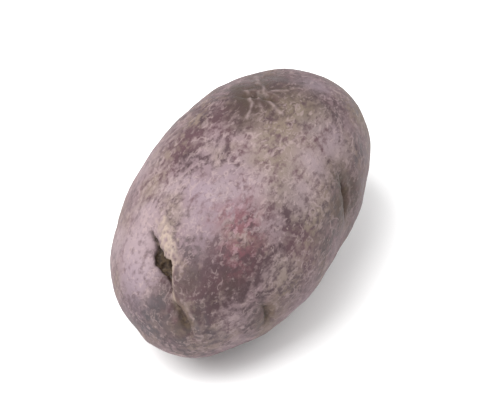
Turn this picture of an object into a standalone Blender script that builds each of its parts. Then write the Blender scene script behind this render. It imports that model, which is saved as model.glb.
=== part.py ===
# A purple potato: one whole tuber, lying on its flatter side.
#
# Metres, +Z up. The tuber is long in X, with its rose end (where eyes crowd) at -X and its heel end
# (where it hung on the plant) at +X. The origin is on the ground, under the middle of its box.

import math
from collections import namedtuple

import bmesh
import bpy
from mathutils import Matrix, Vector, noise

# Size of the tuber, before its eyes are pressed in
HALF_LENGTH = 0.0412
HALF_WIDTH = 0.0238
HALF_HEIGHT = 0.0216

# Form of the tuber
BLUNTNESS = 2.26            # 2 is an ellipsoid, more gives fuller ends
BEND_SIDEWAYS = -0.0013     # how far both ends lean to one side of the middle
BEND_DOWN = -0.0009
HEEL_RISE = math.radians(3.0)
LUMP_HEIGHT = 0.0016        # broad, uneven swellings
LUMP_SIZE = 0.020
RIPPLE_HEIGHT = 0.0004      # smaller unevenness of the skin
RIPPLE_SIZE = 0.0075
REST_DEPTH = 0.0007         # how much of the belly is pressed flat where it rests

# Mesh
GRID = 29                   # faces along each edge of the starting cube
CROWDING = 0.62             # how strongly the grid is drawn together where the forms are narrow
CROWDING_REACH = 1.7        # how far it is drawn from, over the width of the eye or the scar

# An eye is a hollow with an arched brow on its heel side, a slit under the brow and a bud in the slit.
# along runs from -1 at the rose end to 1 at the heel end, and around is in degrees, from +Y over the
# top. turn swings the brow out of square with the tuber's length, in degrees. width is half of the
# brow's length, arch is how far its ends sweep towards the rose end, over the width, and the last
# four are how deep or high each form is.
Eye = namedtuple("Eye", "along around turn width arch hollow slit brow bud")

EYES = {
    "cleft": Eye(-0.833, 74, 61, 0.0079, 0.08, 0.0017, 0.0022, 0.0009, 0.0),
    "crease": Eye(-0.965, 121, 18, 0.0046, 0.10, 0.0007, 0.0012, 0.0007, 0.0),
    "low": Eye(-0.648, 178, -14, 0.0034, 0.40, 0.0010, 0.0008, 0.0005, 0.0004),
    "flank": Eye(0.204, 166, 22, 0.0050, 0.30, 0.0017, 0.0010, 0.0005, 0.0005),
    "crown": Eye(0.38, 84, -10, 0.0042, 0.40, 0.0009, 0.0009, 0.0006, 0.0004),
    "far_rose": Eye(-0.34, 346, 10, 0.0044, 0.40, 0.0011, 0.0009, 0.0006, 0.0006),
    "far_heel": Eye(0.34, 318, -6, 0.0038, 0.45, 0.0009, 0.0008, 0.0006, 0.0005),
    "under_rose": Eye(-0.52, 276, 8, 0.0036, 0.40, 0.0009, 0.0007, 0.0005, 0.0005),
    "under_flank": Eye(-0.16, 212, -12, 0.0040, 0.35, 0.0011, 0.0008, 0.0006, 0.0005),
    "under_heel": Eye(0.56, 222, 6, 0.0036, 0.45, 0.0008, 0.0007, 0.0005, 0.0004),
    "far_tip": Eye(-0.87, 308, 14, 0.0032, 0.35, 0.0008, 0.0007, 0.0004, 0.0004),
    "shoulder": Eye(0.66, 18, -14, 0.0036, 0.35, 0.0008, 0.0007, 0.0005, 0.0004),
}

# Proportions shared by all eyes
HOLLOW_DEPTH = 0.62         # how far it reaches along the tuber, over the eye's width
BROW_ABOVE_MIDDLE = 0.27    # how far the brow lies towards the heel, over the eye's width
BROW_REACH = 0.88           # where the brow fades out, over the eye's width
BROW_THICKNESS = 0.0014
SLIT_THICKNESS = 0.0006     # at its ends
SLIT_SWELLING = 0.15        # how much thicker it is in the middle, over the eye's width
SLIT_BELLY = 0.6            # how long its thick middle is, over the eye's width
SLIT_BELOW_BROW = 0.0019
BUD_BELOW_BROW = 0.0036
BUD_RADIUS = 0.0012
EYE_REACH = 3               # beyond this many widths an eye moves nothing

# Scar of the stolon, in a dimple at the heel end
HEEL_END = Vector((1, 0, 0))
SCAR_DIMPLE_RADIUS = 0.0060
SCAR_DIMPLE = 0.0019
SCAR_STUB_RADIUS = 0.0016
SCAR_STUB = 0.0015

SKIN_COLOUR = (0.235, 0.150, 0.170, 1.0)
SKIN_ROUGHNESS = 0.6


def clear_scene():
    for obj in list(bpy.data.objects):
        bpy.data.objects.remove(obj)


def bell(value, size):
    return math.exp(-((value / size) ** 2))


def body_point(direction):
    """The point of the plain body that lies in this direction from its middle."""
    girth = math.hypot(direction.y / HALF_WIDTH, direction.z / HALF_HEIGHT)
    length = abs(direction.x) / HALF_LENGTH
    reach = (length**BLUNTNESS + girth**BLUNTNESS) ** (-1 / BLUNTNESS)
    point = direction * reach
    lump = LUMP_HEIGHT * noise.noise(point / LUMP_SIZE + Vector((3.1, 7.7, 1.9)))
    ripple = RIPPLE_HEIGHT * noise.noise(point / RIPPLE_SIZE)
    point = direction * (reach + lump + ripple)
    towards_ends = (point.x / HALF_LENGTH) ** 2
    point.y += BEND_SIDEWAYS * towards_ends
    point.z += BEND_DOWN * towards_ends
    return point


def eye_direction(eye):
    around = math.radians(eye.around)
    girth = (1 - abs(eye.along) ** BLUNTNESS) ** (1 / BLUNTNESS)
    across = HALF_WIDTH * girth * math.cos(around)
    upward = HALF_HEIGHT * girth * math.sin(around)
    return Vector((HALF_LENGTH * eye.along, across, upward)).normalized()


def even_ball():
    """A ball of four-sided faces of nearly one size, made from a cube."""
    ball = bmesh.new()
    bmesh.ops.create_cube(ball, size=2.0)
    bmesh.ops.subdivide_edges(ball, edges=ball.edges, cuts=GRID - 1, use_grid_fill=True)
    for vertex in ball.verts:
        even = [math.tan(value * math.pi / 4) for value in vertex.co]
        vertex.co = Vector(even).normalized()
    return ball


def crowd_grid(body):
    """Draws the grid together at each eye and at the scar, so that their narrow forms are caught."""
    places = [(body_point(eye_direction(eye)), eye.width) for eye in EYES.values()]
    places.append((body_point(HEEL_END), SCAR_DIMPLE_RADIUS))
    for vertex in body.verts:
        pull = Vector((0, 0, 0))
        for middle, width in places:
            away = middle - vertex.co
            pull += away * CROWDING * bell(away.length, CROWDING_REACH * width)
        vertex.co = body_point((vertex.co + pull).normalized())


def eye_relief(eye, across, heelward):
    """How far the skin stands out at a place in the eye, which is negative in the hollow."""
    from_brow = heelward + eye.arch * across**2 / eye.width - BROW_ABOVE_MIDDLE * eye.width
    along_brow = math.exp(-((across / (BROW_REACH * eye.width)) ** 4))
    swelling = SLIT_SWELLING * eye.width * bell(across, SLIT_BELLY * eye.width)
    hollow = eye.hollow * bell(across, eye.width) * bell(heelward, HOLLOW_DEPTH * eye.width)
    brow = eye.brow * bell(from_brow, BROW_THICKNESS) * along_brow
    slit = eye.slit * bell(from_brow + SLIT_BELOW_BROW, SLIT_THICKNESS + swelling) * along_brow
    bud = eye.bud * bell(math.hypot(across, from_brow + BUD_BELOW_BROW), BUD_RADIUS)
    return brow + bud - hollow - slit


def press_eyes(body):
    """Moves each point along its normal by the relief of every eye near it."""
    body.normal_update()
    moves = [0.0] * len(body.verts)
    points = [vertex.co.copy() for vertex in body.verts]
    for eye in EYES.values():
        middle = body_point(eye_direction(eye))
        nearest = min(body.verts, key=lambda vertex: (vertex.co - middle).length)
        outward = nearest.normal
        turned = Matrix.Rotation(math.radians(-eye.turn), 3, outward)
        across_axis = turned @ outward.cross(Vector((1, 0, 0))).normalized()
        heel_axis = across_axis.cross(outward)
        for index, point in enumerate(points):
            offset = point - middle
            if offset.length < EYE_REACH * eye.width:
                across = offset.dot(across_axis)
                moves[index] += eye_relief(eye, across, offset.dot(heel_axis))
    for vertex, move in zip(body.verts, moves):
        vertex.co += vertex.normal * move


def press_heel_scar(body):
    """A dimple at the heel end, with the dry stub of the stolon in it."""
    end = body_point(HEEL_END)
    for vertex in body.verts:
        away = (vertex.co - end).length
        dimple = SCAR_DIMPLE * bell(away, SCAR_DIMPLE_RADIUS)
        stub = SCAR_STUB * bell(away, SCAR_STUB_RADIUS)
        vertex.co += Vector((stub - dimple, 0, 0))


def lay_down(body):
    """Tips the tuber as it lies, flattens its belly a little and puts the origin beneath it."""
    bmesh.ops.rotate(
        body, verts=body.verts, cent=(0, 0, 0), matrix=Matrix.Rotation(-HEEL_RISE, 3, "Y")
    )
    ground = min(vertex.co.z for vertex in body.verts) + REST_DEPTH
    middle = [
        (min(vertex.co[axis] for vertex in body.verts)
         + max(vertex.co[axis] for vertex in body.verts)) / 2
        for axis in (0, 1)
    ]
    for vertex in body.verts:
        height = max(vertex.co.z - ground, 0)
        vertex.co = (vertex.co.x - middle[0], vertex.co.y - middle[1], height)


def skin_material():
    skin = bpy.data.materials.new("potato_skin")
    skin.use_nodes = True
    shader = skin.node_tree.nodes["Principled BSDF"]
    shader.inputs["Base Color"].default_value = SKIN_COLOUR
    shader.inputs["Roughness"].default_value = SKIN_ROUGHNESS
    shader.inputs["Metallic"].default_value = 0.0
    skin.diffuse_color = SKIN_COLOUR
    return skin


def add_potato(collection):
    body = even_ball()
    for vertex in body.verts:
        vertex.co = body_point(vertex.co)
    crowd_grid(body)
    press_eyes(body)
    press_heel_scar(body)
    lay_down(body)
    mesh = bpy.data.meshes.new("potato")
    body.to_mesh(mesh)
    body.free()
    mesh.shade_smooth()
    mesh.materials.append(skin_material())
    potato = bpy.data.objects.new("potato", mesh)
    collection.objects.link(potato)


def main():
    clear_scene()
    collection = bpy.data.collections.new("purple_potato")
    bpy.context.scene.collection.children.link(collection)
    add_potato(collection)


main()
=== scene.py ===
import math

import bpy
from mathutils import Matrix, Vector, geometry, noise


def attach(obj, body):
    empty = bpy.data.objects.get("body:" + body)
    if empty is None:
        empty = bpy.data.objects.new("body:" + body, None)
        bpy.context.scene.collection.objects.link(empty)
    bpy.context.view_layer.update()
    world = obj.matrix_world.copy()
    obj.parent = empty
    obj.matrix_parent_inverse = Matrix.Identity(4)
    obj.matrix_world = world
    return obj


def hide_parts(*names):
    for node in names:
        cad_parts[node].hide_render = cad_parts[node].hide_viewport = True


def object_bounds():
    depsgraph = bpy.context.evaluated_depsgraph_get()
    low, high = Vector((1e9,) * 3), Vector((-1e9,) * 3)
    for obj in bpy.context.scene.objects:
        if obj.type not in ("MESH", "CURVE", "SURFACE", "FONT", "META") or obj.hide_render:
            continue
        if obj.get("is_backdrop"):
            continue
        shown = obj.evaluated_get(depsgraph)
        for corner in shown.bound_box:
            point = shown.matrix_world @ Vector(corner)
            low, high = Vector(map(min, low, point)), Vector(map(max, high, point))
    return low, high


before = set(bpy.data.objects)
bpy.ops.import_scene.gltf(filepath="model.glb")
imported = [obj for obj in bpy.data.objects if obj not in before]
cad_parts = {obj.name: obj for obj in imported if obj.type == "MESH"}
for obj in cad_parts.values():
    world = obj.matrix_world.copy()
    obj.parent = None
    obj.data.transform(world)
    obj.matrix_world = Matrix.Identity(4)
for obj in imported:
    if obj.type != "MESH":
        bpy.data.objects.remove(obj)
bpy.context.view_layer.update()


def mm(value):
    return value / 1000


def bell(value, size):
    return math.exp(-((value / size) ** 2))


def ease(value, low, high):
    share = min(max((value - low) / (high - low), 0), 1)
    return share * share * (3 - 2 * share)


def uneven(levels, shake):
    # levels: the middle value, and how much of the shake is added to it
    return levels[0] + levels[1] * shake


# The tuber: the plain form that its marks are placed on, and how finely it is meshed
tuber = {
    "middle": (mm(0.180), mm(0.067), mm(21.501)),       # where it lies in the frame
    "halfSize": (mm(41.2), mm(23.8), mm(21.6)),
    "bluntness": 2.26,
    "bend": (mm(-1.3), mm(-0.9)),   # how far the ends lean, sideways and down
    "lumps": ((mm(1.6), mm(20), (3.1, 7.7, 1.9)), (mm(0.4), mm(7.5), (0, 0, 0))),   # height, size, start
    "heelRise": 3.0,                # degrees
    "slopeStep": 0.03,              # over the form's radius, where its slope is taken
    "mergeDistance": 1e-6,
    "refineLevels": 2,
}


def lumpyPoint(direction):
    length, width, height = tuber["halfSize"]
    power = tuber["bluntness"]
    girth = math.hypot(direction.y / width, direction.z / height)
    reach = ((abs(direction.x) / length) ** power + girth**power) ** (-1 / power)
    plain = direction * reach
    for tall, size, start in tuber["lumps"]:
        reach += tall * noise.noise(plain / size + Vector(start))
    spot = direction * reach
    lean = (spot.x / length) ** 2
    return spot + Vector((0, tuber["bend"][0] * lean, tuber["bend"][1] * lean))


def spotOn(along, around):
    # along: -1 rose end to 1 heel end; around: degrees from +Y over the top
    length, width, height = tuber["halfSize"]
    power = tuber["bluntness"]
    angle = math.radians(around)
    girth = (1 - abs(along) ** power) ** (1 / power)
    across, upward = width * girth * math.cos(angle), height * girth * math.sin(angle)
    direction = Vector((along * length, across, upward)).normalized()
    side = direction.orthogonal().normalized() * tuber["slopeStep"]
    other = direction.cross(side)
    first = lumpyPoint((direction + side).normalized()) - lumpyPoint((direction - side).normalized())
    second = lumpyPoint((direction + other).normalized()) - lumpyPoint((direction - other).normalized())
    outward = first.cross(second).normalized()
    rise = Matrix.Rotation(-math.radians(tuber["heelRise"]), 3, "Y")
    return rise @ lumpyPoint(direction) + Vector(tuber["middle"]), rise @ outward


def refineTuber():
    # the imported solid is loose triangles, so a copy is merged, turned to quads and subdivided
    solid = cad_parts["potato"]
    piece = bpy.data.objects.new("potatoSkin", solid.data.copy())
    bpy.context.scene.collection.objects.link(piece)
    bpy.ops.object.select_all(action="DESELECT")
    piece.select_set(True)
    bpy.context.view_layer.objects.active = piece
    bpy.ops.object.mode_set(mode="EDIT")
    bpy.ops.mesh.select_all(action="SELECT")
    bpy.ops.mesh.remove_doubles(threshold=tuber["mergeDistance"])
    bpy.ops.mesh.tris_convert_to_quads()
    bpy.ops.object.mode_set(mode="OBJECT")
    refine = piece.modifiers.new("refine", "SUBSURF")
    refine.levels = refine.render_levels = tuber["refineLevels"]
    bpy.ops.object.modifier_apply(modifier="refine")
    print("tuber refined:", len(piece.data.polygons), "faces")
    return piece


# Unevenness of the skin, coarse to fine: feature size and height
skinRelief = {
    "pillows": (mm(7.0), mm(0.35)),
    "dimples": (mm(2.6), mm(0.16)),
    "grain": (mm(0.9), mm(0.06)),
}


def roughenTuber(piece):
    for name, (size, height) in skinRelief.items():
        texture = bpy.data.textures.new(name, "CLOUDS")
        texture.noise_scale = size
        texture.noise_depth = 1
        shift = piece.modifiers.new(name, "DISPLACE")
        shift.texture = texture
        shift.texture_coords = "LOCAL"
        shift.strength = height
        shift.mid_level = 0.5
        bpy.ops.object.modifier_apply(modifier=name)
    print("skin roughened")


# The eyes as they lie in the solid: along (-1 to 1), around and turn (degrees), half width and arch of
# the brow, then how corky the brow's face is and how strongly painted shade darkens the hollow
eyes = {
    "crease": (-0.965, 121, 18, mm(4.6), 0.10, 0.4, 0.9),
    "low": (-0.648, 178, -14, mm(3.4), 0.40, 0.3, 0.8),
    "flank": (0.204, 166, 22, mm(5.0), 0.30, 0.2, 1.0),
    "crown": (0.38, 84, -10, mm(4.2), 0.40, 0.1, 1.0),
    "farRose": (-0.34, 346, 10, mm(4.4), 0.40, 1.0, 0.6),
    "farHeel": (0.34, 318, -6, mm(3.8), 0.45, 0.8, 0.5),
    "underRose": (-0.52, 276, 8, mm(3.6), 0.40, 0.7, 0.5),
    "underFlank": (-0.16, 212, -12, mm(4.0), 0.35, 0.9, 0.6),
    "underHeel": (0.56, 222, 6, mm(3.6), 0.45, 0.8, 0.5),
    "farTip": (-0.87, 308, 14, mm(3.2), 0.35, 0.6, 0.6),
    "shoulder": (0.66, 18, -14, mm(3.6), 0.35, 1.0, 0.5),
}

eyeDetail = {
    "reach": 2.4,                   # eye widths within which it is drawn
    "crumb": (mm(0.6), mm(0.16)),   # size and height of the fine crumbs
    "waver": (mm(1.7), mm(0.45)),   # size and width of the brow's unevenness
    "browAboveMiddle": 0.27,        # eye widths
    "browReach": 0.88,              # eye widths
    "slitBelowBrow": mm(1.9),
    "slitThickness": (mm(0.35), 0.05),      # and eye widths more
    "slitDepth": mm(0.30),
    "slitCrumbs": (0.85, 0.4),
    "faceBelowBrow": mm(0.7),
    "faceThickness": mm(0.8),
    "faceCrumbs": (0.8, 0.6),
    "rimAboveBrow": mm(0.35),
    "rimThickness": mm(0.35),
    "rimCork": (0.5, 0.5),
    "rimCrumbs": (0.7, 0.8),
    # the halo of painted shade that darkens each eye's hollow
    "haloBelowMiddle": 0.4,         # eye widths
    "haloReach": 1.15,              # eye widths
    "haloWaver": (mm(2.6), (0.75, 0.7)),
    "wrinkleSpacing": mm(0.95),
    "wrinkleBelowBrow": mm(3.2),
    "wrinkleReach": (0.8, mm(2.2)),         # eye widths across, and heelward
    "wrinkleHeight": mm(0.06),
    "budBelowBrow": mm(3.6),
    "budRadius": mm(0.8),
    "budHeight": mm(0.25),
}


def eyeAxes(along, around, turn):
    place, outward = spotOn(along, around)
    level = outward.cross(Vector((1, 0, 0))).normalized()
    acrossAxis = Matrix.Rotation(math.radians(-turn), 3, outward) @ level
    return place, acrossAxis, acrossAxis.cross(outward)


def mark(masks, name, index, value):
    masks[name][index] = max(masks[name][index], value)


def drawEye(eye, points, masks, moves):
    along, around, turn, width, arch, corky, dark = eye
    place, acrossAxis, heelAxis = eyeAxes(along, around, turn)
    look = eyeDetail
    haloSize, haloLevels = look["haloWaver"]
    for index, point in enumerate(points):
        offset = point - place
        if offset.length > look["reach"] * width:
            continue
        across, heelward = offset.dot(acrossAxis), offset.dot(heelAxis)
        crumb = noise.noise(point / look["crumb"][0])
        waver = noise.noise(point / look["waver"][0]) * look["waver"][1]
        fromBrow = heelward + arch * across**2 / width - look["browAboveMiddle"] * width + waver
        alongBrow = math.exp(-((across / (look["browReach"] * width)) ** 4))
        slit = bell(fromBrow + look["slitBelowBrow"], uneven(look["slitThickness"], width)) * alongBrow
        face = bell(fromBrow + look["faceBelowBrow"], look["faceThickness"]) * alongBrow
        rim = bell(fromBrow - look["rimAboveBrow"], look["rimThickness"]) * alongBrow
        fromHalo = math.hypot(across, heelward + look["haloBelowMiddle"] * width)
        haloShake = noise.noise(point / haloSize)
        halo = bell(fromHalo, look["haloReach"] * width) * uneven(haloLevels, haloShake)
        wrinkle = math.sin(2 * math.pi * fromBrow / look["wrinkleSpacing"])
        wrinkle *= bell(across, look["wrinkleReach"][0] * width)
        wrinkle *= bell(fromBrow + look["wrinkleBelowBrow"], look["wrinkleReach"][1])
        bud = bell(math.hypot(across, fromBrow + look["budBelowBrow"]), look["budRadius"])
        mark(masks, "cork", index, face * corky * uneven(look["faceCrumbs"], crumb))
        mark(masks, "rim", index, rim * uneven(look["rimCork"], corky) * uneven(look["rimCrumbs"], crumb))
        mark(masks, "pit", index, slit * uneven(look["slitCrumbs"], crumb))
        mark(masks, "shade", index, halo * dark)
        mark(masks, "bud", index, bud * corky)
        moves[index] += look["crumb"][1] * crumb * max(face, slit) - look["slitDepth"] * slit
        moves[index] += look["wrinkleHeight"] * wrinkle * (1 - slit) + look["budHeight"] * bud * corky


# The cleft near the rose end, a torn eye: an open hole with a broad, pale, corky lip on its heel side.
# Lengths are across (up) and heelward from the middle of the hole.
cleft = {
    "eye": (-0.833, 74, 61, mm(7.9), 0.08),         # along, around, turn, half width and arch
    "middle": mm(1.4),
    "halfLength": mm(8.4),
    "endTaper": 0.35,               # half lengths
    "thin": mm(0.30),               # half of the hole's width at its ends
    "roseSide": (mm(1.2), mm(2.5), mm(1.35)),       # its belly on each side: middle, length, width
    "heelSide": (mm(-0.5), mm(2.3), mm(1.9)),
    "edge": mm(0.25),
    "closed": mm(0.3),              # half width below which the hole fades out
    "depth": mm(1.1),
    "crumbs": mm(0.45),
    "ragged": ((mm(1.9), mm(0.9)), (mm(0.6), mm(0.35))),        # size and width of the edge's tears
    "tearShares": {"hole": 0.6, "lip": 0.7, "seam": 0.3},
    "holeShade": (mm(0.5), 0.55),       # painted shade around its edge: width and strength
    "holeShadeFrom": (mm(0.1), mm(0.6)),        # half widths of the hole between which it starts
    "lipMiddle": mm(4.8),
    "lipHalf": (mm(7.4), mm(2.6)),
    "lipFromHole": (mm(2.3), 0.14),
    "lipHoles": (mm(1.1), 0.5),     # size and strength of the gaps in it
    "lipEdge": (-0.1, 0.7),
    "lipCrumbs": (0.8, 1.5),
    "lipRelief": (mm(0.18), mm(0.30)),
    "seam": mm(0.45),               # pale edge that runs on below the lip
    "seamLowEnd": (mm(-10.5), mm(-8.5)),
    "seamHighEnd": (mm(0), mm(3)),
    "seamStrength": 0.85,
}


def drawCleft(points, masks, moves):
    along, around, turn, width, arch = cleft["eye"]
    place, acrossAxis, heelAxis = eyeAxes(along, around, turn)
    holeLine = eyeDetail["slitBelowBrow"] - eyeDetail["browAboveMiddle"] * width
    for index, point in enumerate(points):
        offset = point - place
        if offset.length > eyeDetail["reach"] * width:
            continue
        across = offset.dot(acrossAxis)
        fromHole = offset.dot(heelAxis) + arch * across**2 / width + holeLine
        crumb = noise.noise(point / eyeDetail["crumb"][0])
        tear = sum(noise.noise(point / size) * reach for size, reach in cleft["ragged"])
        tears = {name: share * tear for name, share in cleft["tearShares"].items()}

        middle, length, wide = cleft["heelSide" if fromHole > 0 else "roseSide"]
        gape = cleft["thin"] + wide * bell(across - middle, length)
        gape *= ease(1 - abs(across - cleft["middle"]) / cleft["halfLength"], 0, cleft["endTaper"])
        fromEdge = abs(fromHole + tears["hole"]) - gape
        hole = ease(-fromEdge, -cleft["edge"], cleft["edge"]) * ease(gape, 0, cleft["closed"])
        holeShade = bell(max(fromEdge, 0), cleft["holeShade"][0]) * cleft["holeShade"][1]
        holeShade *= ease(gape, *cleft["holeShadeFrom"])

        fromLip = fromHole - uneven(cleft["lipFromHole"], across) + tears["lip"]
        lipLength, lipWidth = cleft["lipHalf"]
        lip = 1 - math.hypot((across - cleft["lipMiddle"]) / lipLength, fromLip / lipWidth)
        lip += cleft["lipHoles"][1] * noise.noise(point / cleft["lipHoles"][0])
        lip = ease(lip, *cleft["lipEdge"]) * (1 - hole)
        seam = bell(fromHole - gape - cleft["seam"] + tears["seam"], cleft["seam"]) * (1 - hole)
        seam *= ease(across, *cleft["seamLowEnd"]) * (1 - ease(across, *cleft["seamHighEnd"]))

        # the hole is painted in the dark pit colours, deepened as painted shade, and ringed with painted
        # shade
        mark(masks, "pit", index, hole)
        mark(masks, "shade", index, holeShade)
        mark(masks, "cream", index, lip * uneven(cleft["lipCrumbs"], crumb))
        mark(masks, "cream", index, seam * cleft["seamStrength"])
        moves[index] += (cleft["crumbs"] * crumb - cleft["depth"]) * hole
        moves[index] += uneven(cleft["lipRelief"], crumb) * lip


# Pale wrinkles that fan out from the crown eye, with painted shade between them. Each line runs through
# spots given as along and around.
wrinkles = {
    "lines": (
        ((0.66, 60), (0.48, 77), (0.41, 84), (0.33, 92), (0.27, 100)),
        ((0.43, 88), (0.49, 95)),
        ((0.37, 74), (0.26, 84), (0.13, 88)),
        ((0.40, 82), (0.22, 91)),
    ),
    "middle": (0.41, 84),
    "reach": mm(16),
    "width": mm(0.45),
    "widthWaver": (mm(3), (1, 0.6)),
    "height": mm(0.14),
    "crumbs": (1.0, 0.5),
    "shadeBetween": (mm(2.2), 0.95),     # width and strength of the painted shade between the lines
    "shadeBetweenCrumbs": (0.7, 0.9),
    "waver": (mm(2.6), mm(0.7)),    # size and width of the lines' bends
    "waverStarts": ((0, 0, 0), (31.7, 5.3, 12.9), (7.1, 43.2, 21.5)),      # one for each axis
}


def offLine(point, spots):
    nearest = []
    for start, end in zip(spots, spots[1:]):
        share = min(max(geometry.intersect_point_line(point, start, end)[1], 0), 1)
        nearest.append((point - start.lerp(end, share)).length)
    return min(nearest)


def shake(point):
    size, reach = wrinkles["waver"]
    shift = [noise.noise(point / size + Vector(start)) for start in wrinkles["waverStarts"]]
    return point + Vector(shift) * reach


def drawWrinkles(points, masks, moves):
    look = wrinkles
    middle = spotOn(*look["middle"])[0]
    lines = [[spotOn(*spot)[0] for spot in line] for line in look["lines"]]
    widthSize, widthLevels = look["widthWaver"]
    for index, point in enumerate(points):
        if (point - middle).length > look["reach"]:
            continue
        away = min(offLine(shake(point), spots) for spots in lines)
        crumb = noise.noise(point / eyeDetail["crumb"][0])
        ridge = bell(away, look["width"] * uneven(widthLevels, noise.noise(point / widthSize)))
        shadeBetween = bell(away, look["shadeBetween"][0]) * look["shadeBetween"][1] * (1 - ridge)
        mark(masks, "rim", index, ridge * uneven(look["crumbs"], crumb))
        mark(masks, "shade", index, shadeBetween * uneven(look["shadeBetweenCrumbs"], crumb))
        moves[index] += look["height"] * (ridge - shadeBetween)


# Scar of the stolon at the heel end: a dry stub in a wrinkled dimple
scar = {
    "place": (0.9999, 0),
    "reach": mm(12),
    "crumbSize": mm(0.7),
    "stub": mm(1.9),
    "stubCrumbs": (0.8, 0.6),
    "groove": (mm(2.375), mm(0.4)),         # radius and thickness of each ring
    "grooveCrumbs": (0.42, 0.7),
    # ring of painted shade in the dimple around the stub
    "shadeRing": (mm(3.4), mm(1.3)),
    "shadeRingCrumbs": (0.8, 0.5),
    "folds": 11,
    "foldRing": (mm(4.6), mm(2.0)),
    "foldTwist": (mm(3), 0.5),
    "foldHeight": mm(0.16),
    "rough": mm(0.25),
}


def drawScar(points, masks, moves):
    place = spotOn(*scar["place"])[0]
    twistSize, twist = scar["foldTwist"]
    for index, point in enumerate(points):
        offset = point - place
        away = offset.length
        if away > scar["reach"]:
            continue
        stub = bell(away, scar["stub"])
        groove, shadeRing, foldRing = (
            bell(away - radius, thickness)
            for radius, thickness in (scar["groove"], scar["shadeRing"], scar["foldRing"])
        )
        crumb = noise.noise(point / scar["crumbSize"])
        angle = math.atan2(offset.z, offset.y) + twist * noise.noise(point / twistSize)
        fold = math.cos(scar["folds"] * angle) * foldRing
        mark(masks, "cork", index, stub * uneven(scar["stubCrumbs"], crumb))
        mark(masks, "pit", index, groove * uneven(scar["grooveCrumbs"], crumb))
        mark(masks, "shade", index, shadeRing * uneven(scar["shadeRingCrumbs"], crumb))
        moves[index] += scar["foldHeight"] * fold + scar["rough"] * crumb * stub


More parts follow.
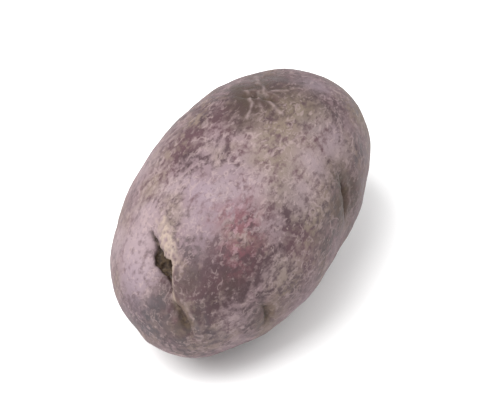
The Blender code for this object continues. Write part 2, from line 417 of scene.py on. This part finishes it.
# Broad patches of colour on the skin: along, around, radius in millimetres and strength
patches = {
    "flush": (                      # pink and red skin showing through
        (-0.51, 115, 5.5, 1.0),
        (-0.62, 124, 4.5, 0.9),
        (-0.38, 112, 3.5, 0.5),
        (-0.20, 15, 7.0, 0.5),
        (0.10, 230, 7.0, 0.5),
    ),
    "plum": (                       # bare, deep purple skin, and painted shade where some patches darken the low rose end and the top edge
        (-0.79, 118, 8.5, 1.0),
        (-0.86, 104, 5.5, 1.0),
        (-0.86, 124, 4.5, 1.0),
        (-0.89, 140, 4.0, 0.9),
        (-0.96, 82, 3.5, 0.7),
        (-0.68, 112, 5.0, 1.0),
        (-0.78, 138, 5.5, 0.9),
        (-0.62, 134, 5.5, 1.0),
        (-0.34, 141, 6.5, 0.7),
        (-0.13, 62, 7.0, 0.6),
        (0.15, 70, 6.0, 0.6),
        (0.28, 80, 6.5, 1.0),
        (0.38, 80, 6.5, 1.0),
        (0.57, 82, 7.5, 0.6),
        (0.56, 116, 6.0, 0.3),
        (-0.95, 12, 6.0, 0.7),
        (-0.44, 172, 5.0, 0.5),
        (-0.85, 160, 7.0, 0.5),
        (-0.45, 330, 13.0, 0.8),
        (0.45, 200, 12.0, 0.7),
        (0.75, 40, 8.0, 0.6),
    ),
    "moss": (                       # olive, thicker cork
        (0.14, 108, 8.5, 0.9),
        (0.34, 108, 8.5, 1.0),
        (-0.06, 118, 7.0, 1.0),
        (-0.20, 124, 6.0, 0.9),
        (-0.20, 145, 5.5, 0.7),
        (-0.48, 160, 5.0, 0.6),
        (-0.62, 186, 6.0, 0.5),
        (0.40, 300, 12.0, 0.8),
        (0.12, 15, 8.5, 0.8),
        (0.80, 150, 8.0, 0.7),
        (-0.48, 8, 7.0, 0.6),
        (-0.20, 235, 9.0, 0.7),
    ),
    "pale": (                       # thin lilac skin, and painted highlight on the bulge at the rose end and on the lit shoulder
        (0.29, 138, 5.5, 0.7),
        (0.10, 131, 6.5, 0.9),
        (-0.08, 136, 6.0, 0.8),
        (-0.04, 96, 6.0, 0.4),
        (-0.18, 112, 4.5, 0.6),
        (-0.16, 137, 5.5, 0.7),
        (-0.20, 135, 4.0, 0.7),
        (-0.38, 131, 4.5, 0.6),
        (-0.57, 150, 4.5, 0.5),
        (-0.12, 78, 5.0, 0.4),
        (-0.27, 111, 5.0, 0.8),
        (-0.43, 64, 5.0, 0.8),
        (-0.57, 52, 6.0, 0.8),
        (-0.70, 52, 7.5, 1.0),
        (-0.76, 46, 5.0, 1.0),
        (-0.82, 56, 5.5, 1.0),
        (-0.64, 24, 5.5, 0.9),
        (-0.50, 153, 4.5, 0.4),
        (-0.86, 168, 5.5, 0.7),
        (-0.84, 198, 5.0, 0.5),
        (0.10, 262, 12.0, 0.7),
        (0.66, 196, 9.0, 0.7),
        (0.80, 330, 9.0, 0.7),
        (-0.20, 32, 8.0, 0.7),
        (-0.70, 300, 8.0, 0.7),
    ),
    "haze": (                       # cool, bluish lilac
        (-0.42, 92, 7.5, 1.0),
        (-0.28, 92, 6.0, 0.6),
        (-0.57, 92, 6.5, 0.8),
        (-0.65, 100, 5.0, 0.7),
        (-0.90, 42, 6.5, 1.0),
        (-0.96, 22, 5.0, 0.7),
        (0.36, 130, 6.5, 0.5),
        (0.65, 106, 5.5, 0.8),
        (-0.38, 208, 8.5, 0.7),
        (0.52, 352, 9.0, 0.7),
        (0.55, 262, 9.0, 0.6),
    ),
    "stainAndShade": (                       # grey-brown staining, and painted shade along the top edge, the right flank and the low end
        (0.41, 71, 6.5, 1.0),
        (0.42, 84, 4.0, 0.8),
        (0.29, 82, 6.5, 1.0),
        (0.64, 74, 7.5, 0.6),
        (0.46, 106, 7.5, 0.6),
        (0.14, 87, 4.5, 0.7),
        (0.20, 152, 5.0, 1.0),
        (0.23, 166, 6.5, 1.0),
        (0.02, 163, 6.0, 0.7),
        (-0.16, 166, 6.0, 0.5),
        (-0.66, 184, 3.2, 0.5),
        (-0.65, 77, 2.2, 0.7),
        (-0.88, 99, 4.5, 0.65),
        (-0.93, 72, 3.0, 0.9),
        (-0.80, 132, 4.5, 0.4),
        (0.10, 335, 6.0, 0.5),
    ),
    "coolShade": (                      # cool grey painted shade along the low rose end, and faint grey patches on the heel half
        (-0.99, 34, 5.5, 1.0),
        (-0.96, 72, 4.0, 1.0),
        (-0.98, 100, 5.5, 0.8),
        (-0.97, 146, 5.5, 1.0),
        (-0.99, 172, 4.5, 0.7),
        (0.68, 102, 6.0, 0.35),
        (0.70, 290, 8.0, 0.5),
    ),
}

patchEdge = {"waver": (mm(4.5), (1, 0.5)), "softness": 0.9, "reach": 2.2}
maskNames = ("cork", "cream", "rim", "pit", "shade", "bud", *patches)


def paintPatches(points, masks):
    waverSize, waverLevels = patchEdge["waver"]
    for name, spots in patches.items():
        for along, around, radius, strength in spots:
            place = spotOn(along, around)[0]
            for index, point in enumerate(points):
                away = (point - place).length / mm(radius)
                if away < patchEdge["reach"]:
                    away *= uneven(waverLevels, noise.noise(point / waverSize))
                    mark(masks, name, index, strength * bell(away, patchEdge["softness"]))


def dressTuber(piece):
    mesh = piece.data
    points = [vertex.co.copy() for vertex in mesh.vertices]
    normals = [vertex.normal.copy() for vertex in mesh.vertices]
    masks = {name: [0.0] * len(points) for name in maskNames}
    moves = [0.0] * len(points)
    for eye in eyes.values():
        drawEye(eye, points, masks, moves)
    drawCleft(points, masks, moves)
    drawWrinkles(points, masks, moves)
    drawScar(points, masks, moves)
    paintPatches(points, masks)
    for vertex, normal, move in zip(mesh.vertices, normals, moves):
        vertex.co += normal * move
        vertex.co.z = max(vertex.co.z, 0)
    for name, values in masks.items():
        attribute = mesh.attributes.new(name, "FLOAT", "POINT")
        attribute.data.foreach_set("value", [min(max(value, 0), 1) for value in values])
    mesh.shade_smooth()
    print("eyes, scar and patches drawn")


def fill(tree, node, inputs):
    for name, value in inputs.items():
        if isinstance(value, bpy.types.NodeSocket):
            tree.links.new(value, node.inputs[name])
        else:
            node.inputs[name].default_value = value


def newNode(tree, kind, inputs=None, **settings):
    node = tree.nodes.new("ShaderNode" + kind)
    for name, value in settings.items():
        setattr(node, name, value)
    fill(tree, node, inputs or {})
    return node


def spread(tree, value, low, high, start=0.0, end=1.0, kind="SMOOTHSTEP"):
    inputs = {"Value": value, "From Min": low, "From Max": high, "To Min": start, "To Max": end}
    return newNode(tree, "MapRange", inputs, interpolation_type=kind).outputs["Result"]


def calc(tree, operation, first, second=0.0, clamp=False):
    node = newNode(tree, "Math", {0: first, 1: second}, operation=operation, use_clamp=clamp)
    return node.outputs["Value"]


def cloud(tree, where, density, detail=2.0, roughness=0.5):
    inputs = {"Vector": where, "Scale": density, "Detail": detail, "Roughness": roughness}
    return newNode(tree, "TexNoise", inputs).outputs["Fac"]


def blend(tree, amount, under, over):
    node = newNode(tree, "Mix", {0: amount, 6: under, 7: over}, data_type="RGBA")
    return node.outputs[2]


def newGroup(name, inputs):
    group = bpy.data.node_groups.new(name, "ShaderNodeTree")
    group.interface.new_socket("Vector", in_out="INPUT", socket_type="NodeSocketVector")
    for label, value in inputs.items():
        socket = group.interface.new_socket(label, in_out="INPUT", socket_type="NodeSocketFloat")
        socket.default_value = value
    group.interface.new_socket("Mask", in_out="OUTPUT", socket_type="NodeSocketFloat")
    return group, group.nodes.new("NodeGroupInput").outputs, group.nodes.new("NodeGroupOutput").inputs


def useGroup(tree, group, **inputs):
    node = newNode(tree, "Group", node_tree=group)
    fill(tree, node, inputs)
    return node.outputs["Mask"]


# Inner values of the two node groups that draw the skin's marks
groupDetail = {
    "speckDetail": 3.0,
    "speckRoughness": 0.6,
    "speckLevels": (0.25, 0.75),    # of the noise, spread to 0 and 1
    "netDetail": 1.5,
    "netLevel": 0.5,
    "breakDensity": 0.6,            # over the netting's density
    "breakDetail": 2.0,
    "breakEdge": 0.08,
}


def speckleGroup():
    # specks: Coverage is the share of skin they take, Edge how soft they are
    group, given, made = newGroup("speckle", {"Density": 1000.0, "Coverage": 0.5, "Edge": 0.06})
    detail, roughness = groupDetail["speckDetail"], groupDetail["speckRoughness"]
    level = calc(group, "SUBTRACT", 1.0, given["Coverage"])
    grains = cloud(group, given["Vector"], given["Density"], detail, roughness)
    shaped = spread(group, grains, *groupDetail["speckLevels"])
    low = calc(group, "SUBTRACT", level, given["Edge"])
    high = calc(group, "ADD", level, given["Edge"])
    group.links.new(spread(group, shaped, low, high, kind="LINEAR"), made["Mask"])
    return group


def nettingGroup():
    # thin worm-like lines, where a noise crosses its middle; Gaps is how much of them is missing
    group, given, made = newGroup("netting", {"Density": 800.0, "Line": 0.05, "Gaps": 0.5})
    level = cloud(group, given["Vector"], given["Density"], groupDetail["netDetail"])
    away = calc(group, "ABSOLUTE", calc(group, "SUBTRACT", level, groupDetail["netLevel"]))
    line = spread(group, away, 0.0, given["Line"], 1.0, 0.0)
    breakDensity = calc(group, "MULTIPLY", given["Density"], groupDetail["breakDensity"])
    breaks = cloud(group, given["Vector"], breakDensity, groupDetail["breakDetail"])
    whole = calc(group, "ADD", given["Gaps"], groupDetail["breakEdge"])
    kept = spread(group, breaks, given["Gaps"], whole)
    group.links.new(calc(group, "MULTIPLY", line, kept), made["Mask"])
    return group


# Colours of the skin in linear light, and how strongly its gloss and relief show
skinLook = {
    "deepPlum": (0.043, 0.022, 0.026, 1),
    "wine": (0.073, 0.035, 0.042, 1),
    "mauve": (0.160, 0.107, 0.115, 1),
    "tan": (0.169, 0.123, 0.100, 1),
    "moss": (0.146, 0.115, 0.078, 1),
    "lilac": (0.256, 0.196, 0.209, 1),
    "haze": (0.219, 0.167, 0.195, 1),
    # grey-brown of the staining, the painted shade and the pores, then the cool grey of painted shade
    "stainAndShade": (0.046, 0.029, 0.021, 1),
    "coolShade": (0.046, 0.039, 0.046, 1),
    "flush": (0.120, 0.044, 0.053, 1),
    "pink": (0.300, 0.185, 0.205, 1),
    "netLine": (0.281, 0.211, 0.208, 1),
    "lenticel": (0.286, 0.222, 0.195, 1),
    "cork": (0.193, 0.125, 0.074, 1),
    "cream": (0.300, 0.232, 0.190, 1),
    # dark colours of the hole, the eye slits and the scar groove: brown tissue deepened by painted shade
    "pitBrown": (0.020, 0.010, 0.004, 1),
    "pitOlive": (0.058, 0.036, 0.018, 1),
    "budTip": (0.190, 0.093, 0.113, 1),
    "roughness": (0.50, 0.74),      # of bare skin and of cork
    "specular": 0.28,
    "bumpDistance": mm(0.22),
    "bumpStrength": 0.55,
}

# How much of the skin under it each layer hides
hides = {
    "evenBare": 0.35,
    "lilacClouds": 0.3,
    "moss": 0.85,
    "pale": 0.85,
    "haze": 0.8,
    "flakes": 0.95,
    "plum": 0.50,
    "stainsAndShade": 0.88,
    "lines": 0.56,
    "pink": 0.45,
    "pores": 0.30,
    "lenticels": 0.6,
    "shade": 0.80,
    "cork": 0.85,
    "rim": 0.52,
    "cream": 0.9,
    "bud": 0.6,
    "pit": 0.95,
}

# Marks of the skin. Clouds: density and detail, the noise levels that are spread, and to what values.
# Specks and nets: the inputs of their node groups.
pattern = {
    "lengthwise": (0.62, 1.0, 1.0),         # most marks are drawn out along the tuber
    "wineClouds": (90.0, 2.0, 0.42, 0.60, 0.0, 1.0),
    "tanClouds": (120.0, 4.0, 0.42, 0.66, 0.0, 1.0),
    "lilacClouds": (75.0, 3.0, 0.50, 0.72, 0.0, 1.0),
    "coverClouds": (330.0, 3.0, 0.30, 0.70, 0.30, 0.80),
    "stainShadeClouds": (480.0, 3.0, 0.40, 0.59, 0.38, 1.0),
    "corkGrit": (1700.0, 3.0, 0.30, 0.60, 0.45, 1.0),
    "creamGrit": (1700.0, 3.0, 0.30, 0.60, 0.70, 1.0),
    "pitGrit": (900.0, 3.0, 0.45, 0.62, 0.0, 1.0),
    "grain": (3800.0, 3.0),
    "flakes": {"Density": 850.0, "Edge": 0.34},
    "flecks": {"Density": 820.0, "Coverage": 0.17, "Edge": 0.10},
    "redSpecks": {"Density": 620.0, "Coverage": 0.50, "Edge": 0.25},
    "pinkSpecks": {"Density": 700.0, "Coverage": 0.20, "Edge": 0.10},
    "pores": {"Density": 1300.0, "Coverage": 0.12, "Edge": 0.10},
    "net": {"Density": 480.0, "Line": 0.08, "Gaps": 0.55},
    "fineNet": {"Density": 900.0, "Line": 0.11, "Gaps": 0.54},
    "redLevels": (0.15, 0.85),
    "lenticelDensity": 210.0,
    "lenticelChoice": (0.35, 1.0),          # of the cells, the share above the first has one
    "lenticelSize": (0.001, 0.10),
    "lenticelCore": 0.5,
    "evenMoss": 0.7,
    "plumThinsCover": 0.50,
    "evenThickensCover": 0.46,
    "fineNetShare": 0.8,
    "fleckShare": 0.9,
    "plumHidesLines": 0.35,
    "stainShadeHidesLines": 0.22,
    "relief": {"flakes": 0.3, "lines": 0.4, "lenticels": 0.4, "pores": -0.5, "grain": 0.2},
}


def times(tree, first, second):
    return calc(tree, "MULTIPLY", first, second)


def layer(tree, skin, mask, share, colour):
    return blend(tree, times(tree, mask, share), skin, skinLook[colour])


def patternClouds(tree, where, name):
    density, detail, low, high, start, end = pattern[name]
    return spread(tree, cloud(tree, where, density, detail), low, high, start, end)


def paintCork(tree, where, lengthwise, speckle, masks):
    # bare skin, plum to wine, seen between flakes of thin cork; even is where the cork is unbroken
    even = times(tree, masks["moss"], pattern["evenMoss"])
    even = calc(tree, "MAXIMUM", even, calc(tree, "MAXIMUM", masks["haze"], masks["pale"]))
    bare = blend(tree, patternClouds(tree, where, "wineClouds"), skinLook["deepPlum"], skinLook["wine"])
    bare = layer(tree, bare, even, hides["evenBare"], "mauve")

    # the cork is mauve, tan and lilac in clouds, and coloured by the painted patches
    cork = blend(tree, patternClouds(tree, where, "tanClouds"), skinLook["mauve"], skinLook["tan"])
    lilac = patternClouds(tree, lengthwise, "lilacClouds")
    cork = layer(tree, cork, lilac, hides["lilacClouds"], "lilac")
    for name, colour in (("moss", "moss"), ("pale", "lilac"), ("haze", "haze")):
        cork = layer(tree, cork, masks[name], hides[name], colour)
    cover = patternClouds(tree, where, "coverClouds")
    cover = calc(tree, "SUBTRACT", cover, times(tree, masks["plum"], pattern["plumThinsCover"]))
    cover = calc(tree, "ADD", cover, times(tree, even, pattern["evenThickensCover"]))
    flakes = useGroup(tree, speckle, Vector=lengthwise, Coverage=cover, **pattern["flakes"])
    skin = blend(tree, times(tree, flakes, hides["flakes"]), bare, cork)

    # plum patches, partly painted shade, then grey-brown staining and cool grey painted shade, broken up
    # by a mottle
    skin = layer(tree, skin, masks["plum"], hides["plum"], "deepPlum")
    mottle = patternClouds(tree, lengthwise, "stainShadeClouds")
    for name in ("stainAndShade", "coolShade"):
        skin = layer(tree, skin, times(tree, masks[name], mottle), hides["stainsAndShade"], name)
    return skin, flakes


def paintLines(tree, skin, lengthwise, speckle, netting, masks):
    # coarse and fine netting with pale flecks, thinner over the plum, the staining and the painted shade
    net = useGroup(tree, netting, Vector=lengthwise, **pattern["net"])
    fineNet = useGroup(tree, netting, Vector=lengthwise, **pattern["fineNet"])
    flecks = useGroup(tree, speckle, Vector=lengthwise, **pattern["flecks"])
    lines = calc(tree, "MAXIMUM", net, times(tree, fineNet, pattern["fineNetShare"]))
    lines = calc(tree, "MAXIMUM", lines, times(tree, flecks, pattern["fleckShare"]))
    plumWear = times(tree, masks["plum"], pattern["plumHidesLines"])
    stainShadeWear = times(tree, masks["stainAndShade"], pattern["stainShadeHidesLines"])
    lines = calc(tree, "SUBTRACT", lines, calc(tree, "ADD", plumWear, stainShadeWear), clamp=True)
    return layer(tree, skin, lines, hides["lines"], "netLine"), lines


def paintFlush(tree, skin, lengthwise, speckle, masks):
    # red in soft specks, with a few pink ones over it
    redSpecks = useGroup(tree, speckle, Vector=lengthwise, **pattern["redSpecks"])
    red = spread(tree, redSpecks, 0.0, 1.0, *pattern["redLevels"])
    skin = blend(tree, times(tree, masks["flush"], red), skin, skinLook["flush"])
    pinkSpecks = useGroup(tree, speckle, Vector=lengthwise, **pattern["pinkSpecks"])
    return layer(tree, skin, times(tree, masks["flush"], pinkSpecks), hides["pink"], "pink")


def paintDots(tree, skin, where, speckle):
    # dark pores, and pale lenticels in some of the cells
    pores = useGroup(tree, speckle, Vector=where, **pattern["pores"])
    skin = layer(tree, skin, pores, hides["pores"], "stainAndShade")
    inputs = {"Vector": where, "Scale": pattern["lenticelDensity"]}
    cells = newNode(tree, "TexVoronoi", inputs, feature="F1")
    chance = newNode(tree, "SeparateColor", {"Color": cells.outputs["Color"]}).outputs["Red"]
    size = spread(tree, chance, *pattern["lenticelChoice"], *pattern["lenticelSize"])
    core = times(tree, size, pattern["lenticelCore"])
    lenticels = spread(tree, cells.outputs["Distance"], core, size, 1.0, 0.0)
    return layer(tree, skin, lenticels, hides["lenticels"], "lenticel"), pores, lenticels


def paintScars(tree, skin, where, masks):
    # the eyes, the cleft, the wrinkles and the heel scar: painted shade in their hollows, then cork,
    # rims, cream and bud tips, and dark brown pits deepened by painted shade
    skin = layer(tree, skin, masks["shade"], hides["shade"], "stainAndShade")
    corky = times(tree, masks["cork"], patternClouds(tree, where, "corkGrit"))
    skin = layer(tree, skin, corky, hides["cork"], "cork")
    skin = layer(tree, skin, masks["rim"], hides["rim"], "netLine")
    creamy = times(tree, masks["cream"], patternClouds(tree, where, "creamGrit"))
    skin = layer(tree, skin, creamy, hides["cream"], "cream")
    skin = layer(tree, skin, masks["bud"], hides["bud"], "budTip")
    pit = blend(tree, patternClouds(tree, where, "pitGrit"), skinLook["pitBrown"], skinLook["pitOlive"])
    return blend(tree, times(tree, masks["pit"], hides["pit"]), skin, pit)


def raiseMarks(tree, marks):
    height = 0.0
    for name, strength in pattern["relief"].items():
        height = calc(tree, "ADD", height, times(tree, marks[name], strength))
    bump = newNode(tree, "Bump", {"Height": height})
    bump.inputs["Strength"].default_value = skinLook["bumpStrength"]
    bump.inputs["Distance"].default_value = skinLook["bumpDistance"]
    return bump.outputs["Normal"]


def skinMaterial():
    material = bpy.data.materials.new("potatoSkin")
    material.use_nodes = True
    tree = material.node_tree
    shader = tree.nodes["Principled BSDF"]
    where = newNode(tree, "TexCoord").outputs["Object"]
    stretch = newNode(tree, "Mapping", {"Vector": where, "Scale": pattern["lengthwise"]})
    lengthwise = stretch.outputs["Vector"]
    speckle, netting = speckleGroup(), nettingGroup()
    masks = {
        name: newNode(tree, "Attribute", attribute_name=name, attribute_type="GEOMETRY").outputs["Fac"]
        for name in maskNames
    }
    skin, flakes = paintCork(tree, where, lengthwise, speckle, masks)
    skin, lines = paintLines(tree, skin, lengthwise, speckle, netting, masks)
    skin = paintFlush(tree, skin, lengthwise, speckle, masks)
    skin, pores, lenticels = paintDots(tree, skin, where, speckle)
    skin = paintScars(tree, skin, where, masks)
    dull = spread(tree, calc(tree, "MAXIMUM", flakes, lines), 0.0, 1.0, *skinLook["roughness"])
    grain = cloud(tree, where, *pattern["grain"])
    marks = {"flakes": flakes, "lines": lines, "lenticels": lenticels, "pores": pores, "grain": grain}
    tree.links.new(skin, shader.inputs["Base Color"])
    tree.links.new(dull, shader.inputs["Roughness"])
    shader.inputs["Specular IOR Level"].default_value = skinLook["specular"]
    tree.links.new(raiseMarks(tree, marks), shader.inputs["Normal"])
    print("skin material made")
    return material


def makePotato():
    piece = refineTuber()
    roughenTuber(piece)
    dressTuber(piece)
    piece.data.materials.clear()
    piece.data.materials.append(skinMaterial())
    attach(piece, "root")
    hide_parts("potato")


# A pale table and soft studio light. Azimuths and elevations are in degrees, as seen from the potato.
studio = {
    "floorSize": 3.0,
    "floorColour": (0.88, 0.88, 0.88, 1),
    "floorRoughness": 0.8,
    "floorGap": mm(0.1),
    "worldColour": (1.0, 1.0, 1.0, 1),
    "worldStrength": 0.73,
    "azimuth": 295.3,
    "elevation": 42.0,
    "distance": 0.7,
    "frameWidth": 0.108,
    "sensor": 36.0,
    "lift": mm(-1),
    "clipStart": mm(10),
}

lights = {
    "key": {"azimuth": 234, "elevation": 60, "distance": 0.9, "size": 0.8, "watts": 15.2},
    "fill": {"azimuth": 20, "elevation": 50, "distance": 1.0, "size": 0.9, "watts": 3.4},
}


def towards(azimuth, elevation):
    turn, lift = math.radians(azimuth), math.radians(elevation)
    return Vector((math.sin(turn) * math.cos(lift), -math.cos(turn) * math.cos(lift), math.sin(lift)))


def aimAt(thing, target):
    thing.rotation_euler = (target - thing.location).to_track_quat("-Z", "Y").to_euler()


def makeFloor():
    bpy.ops.object.select_all(action="DESELECT")
    bpy.ops.mesh.primitive_plane_add(size=studio["floorSize"], location=(0, 0, -studio["floorGap"]))
    floor = bpy.context.object
    floor.name = "floor"
    paint = bpy.data.materials.new("paleFloor")
    paint.use_nodes = True
    shader = paint.node_tree.nodes["Principled BSDF"]
    shader.inputs["Base Color"].default_value = studio["floorColour"]
    shader.inputs["Roughness"].default_value = studio["floorRoughness"]
    floor.data.materials.append(paint)
    floor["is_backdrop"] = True


def makeLights(middle):
    world = bpy.data.worlds.new("studio")
    bpy.context.scene.world = world
    world.use_nodes = True
    sky = world.node_tree.nodes["Background"]
    sky.inputs["Color"].default_value = studio["worldColour"]
    sky.inputs["Strength"].default_value = studio["worldStrength"]
    for name, lamp in lights.items():
        data = bpy.data.lights.new(name, "AREA")
        data.energy = lamp["watts"]
        data.size = lamp["size"]
        light = bpy.data.objects.new(name, data)
        light.location = middle + towards(lamp["azimuth"], lamp["elevation"]) * lamp["distance"]
        bpy.context.scene.collection.objects.link(light)
        aimAt(light, middle)


def makeCamera(middle):
    data = bpy.data.cameras.new("camera")
    data.sensor_width = studio["sensor"]
    data.lens = studio["sensor"] * studio["distance"] / studio["frameWidth"]
    data.clip_start = studio["clipStart"]
    camera = bpy.data.objects.new("camera", data)
    bpy.context.scene.collection.objects.link(camera)
    target = middle + Vector((0, 0, studio["lift"]))
    camera.location = target + towards(studio["azimuth"], studio["elevation"]) * studio["distance"]
    aimAt(camera, target)
    bpy.context.scene.camera = camera
    bpy.context.scene.view_settings.view_transform = "Standard"


def makeStudio():
    makeFloor()
    low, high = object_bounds()
    middle = (low + high) / 2
    makeLights(middle)
    makeCamera(middle)
    print("studio set")


makePotato()
makeStudio()
